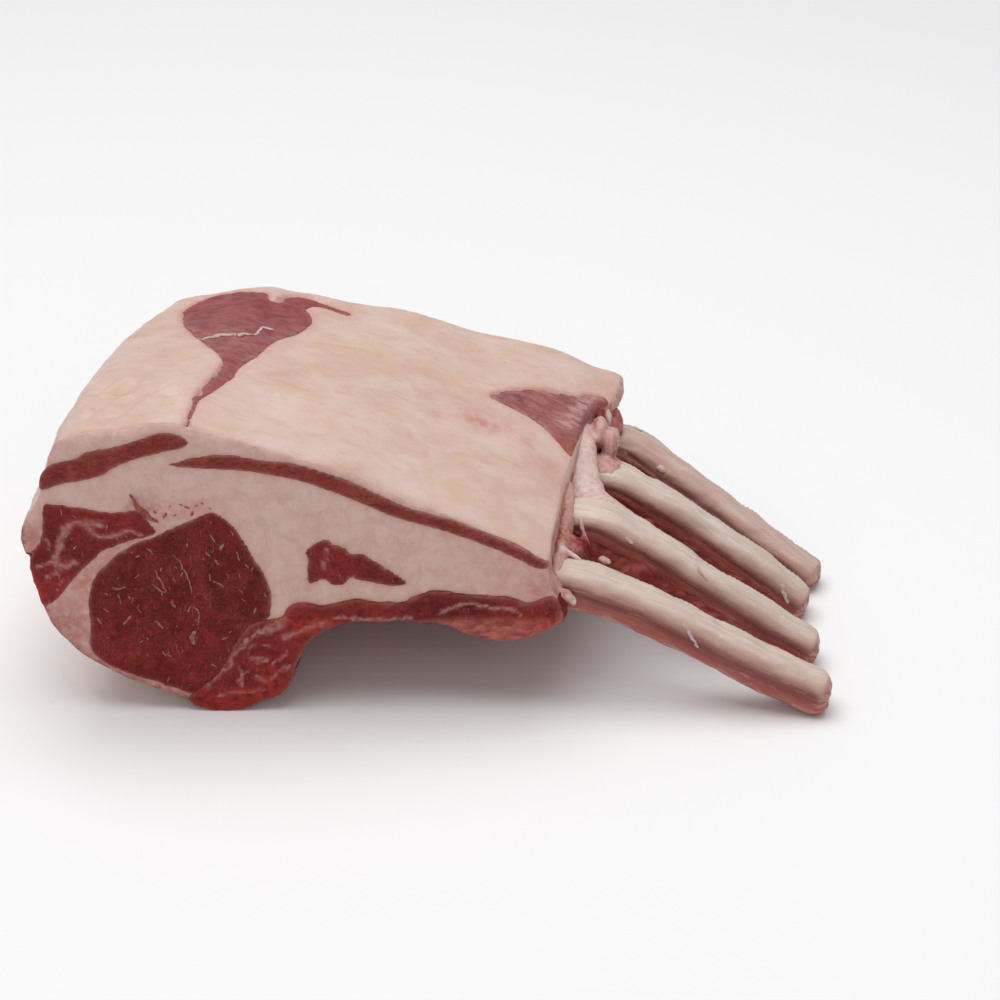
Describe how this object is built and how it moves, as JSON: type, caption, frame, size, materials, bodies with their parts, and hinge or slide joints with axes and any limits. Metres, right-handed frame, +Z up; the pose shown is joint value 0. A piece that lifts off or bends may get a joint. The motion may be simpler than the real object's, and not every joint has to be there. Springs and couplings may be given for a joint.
{
  "type": "raw rack of lamb",
  "caption": "Raw rack of lamb lying fat side up: a loin with its muscles showing at the cut and frenched rib bones running out of one side.",
  "frame": {"origin": "centre of the bounding box in plan, at the surface the rack lies on", "axes": "+X along the ribs towards the bone tips, +Y along the spine from the front cut to the back cut, +Z up through the fat cover"},
  "size_m": [0.2112, 0.1018, 0.0842],
  "materials": {
    "fat": "creamy pink raw fat, damp satin, with fine streaks",
    "dark_lean": "dark burgundy raw lean, wet, with white marbling",
    "cover_lean": "brownish red raw lean in thin layers, smooth and damp",
    "bone": "cream scraped bone with pink streaks and shreds of meat"
  },
  "bodies": {
    "root": {"fat_body": "fat", "loin_eye": "dark_lean", "side_muscle": "dark_lean", "rib_meat": "dark_lean", "islet_muscle": "cover_lean", "back_strip": "cover_lean", "cap_strip": "cover_lean", "rib_bone_1": "bone", "rib_bone_2": "bone", "rib_bone_3": "bone", "rib_bone_4": "bone"}
  },
  "joints": []
}
